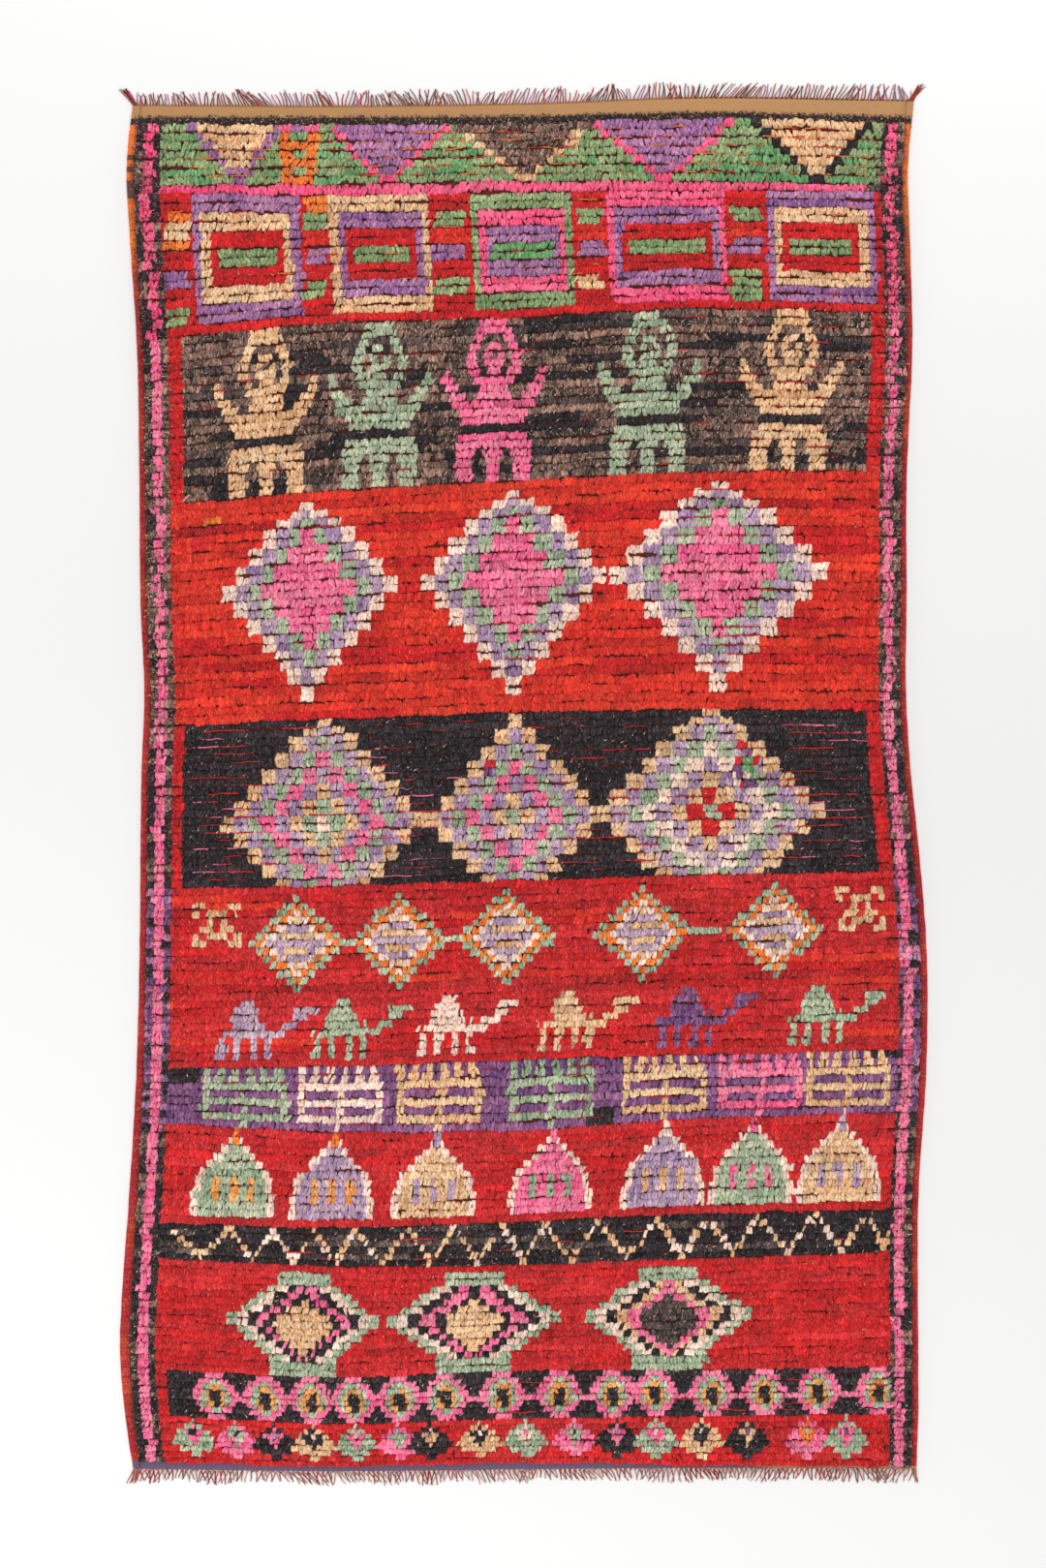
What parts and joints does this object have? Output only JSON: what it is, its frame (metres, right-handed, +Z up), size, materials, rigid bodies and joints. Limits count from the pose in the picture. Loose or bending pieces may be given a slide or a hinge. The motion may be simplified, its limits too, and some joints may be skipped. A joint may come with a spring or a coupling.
{
  "type": "moroccan rug",
  "caption": "Flat hand-knotted wool pile rug with bands of geometric motifs, flat-woven ends and side bindings, and a short cut fringe at each end",
  "frame": {"origin": "on the floor under the middle of the rug", "axes": "+Y along the rug's length towards the end with the gold band, +X to the right seen from above, +Z up out of the pile"},
  "size_m": [1.6676, 2.8978, 0.016],
  "materials": {
    "pile": "hand-spun dyed wool pile",
    "binding": "flat-woven dyed wool",
    "fringe": "cut wool warp ends"
  },
  "bodies": {
    "root": {"rug_cloth": "pile", "binding_left": "binding", "binding_right": "binding", "fringe_top": "fringe", "fringe_bottom": "fringe"}
  },
  "joints": []
}
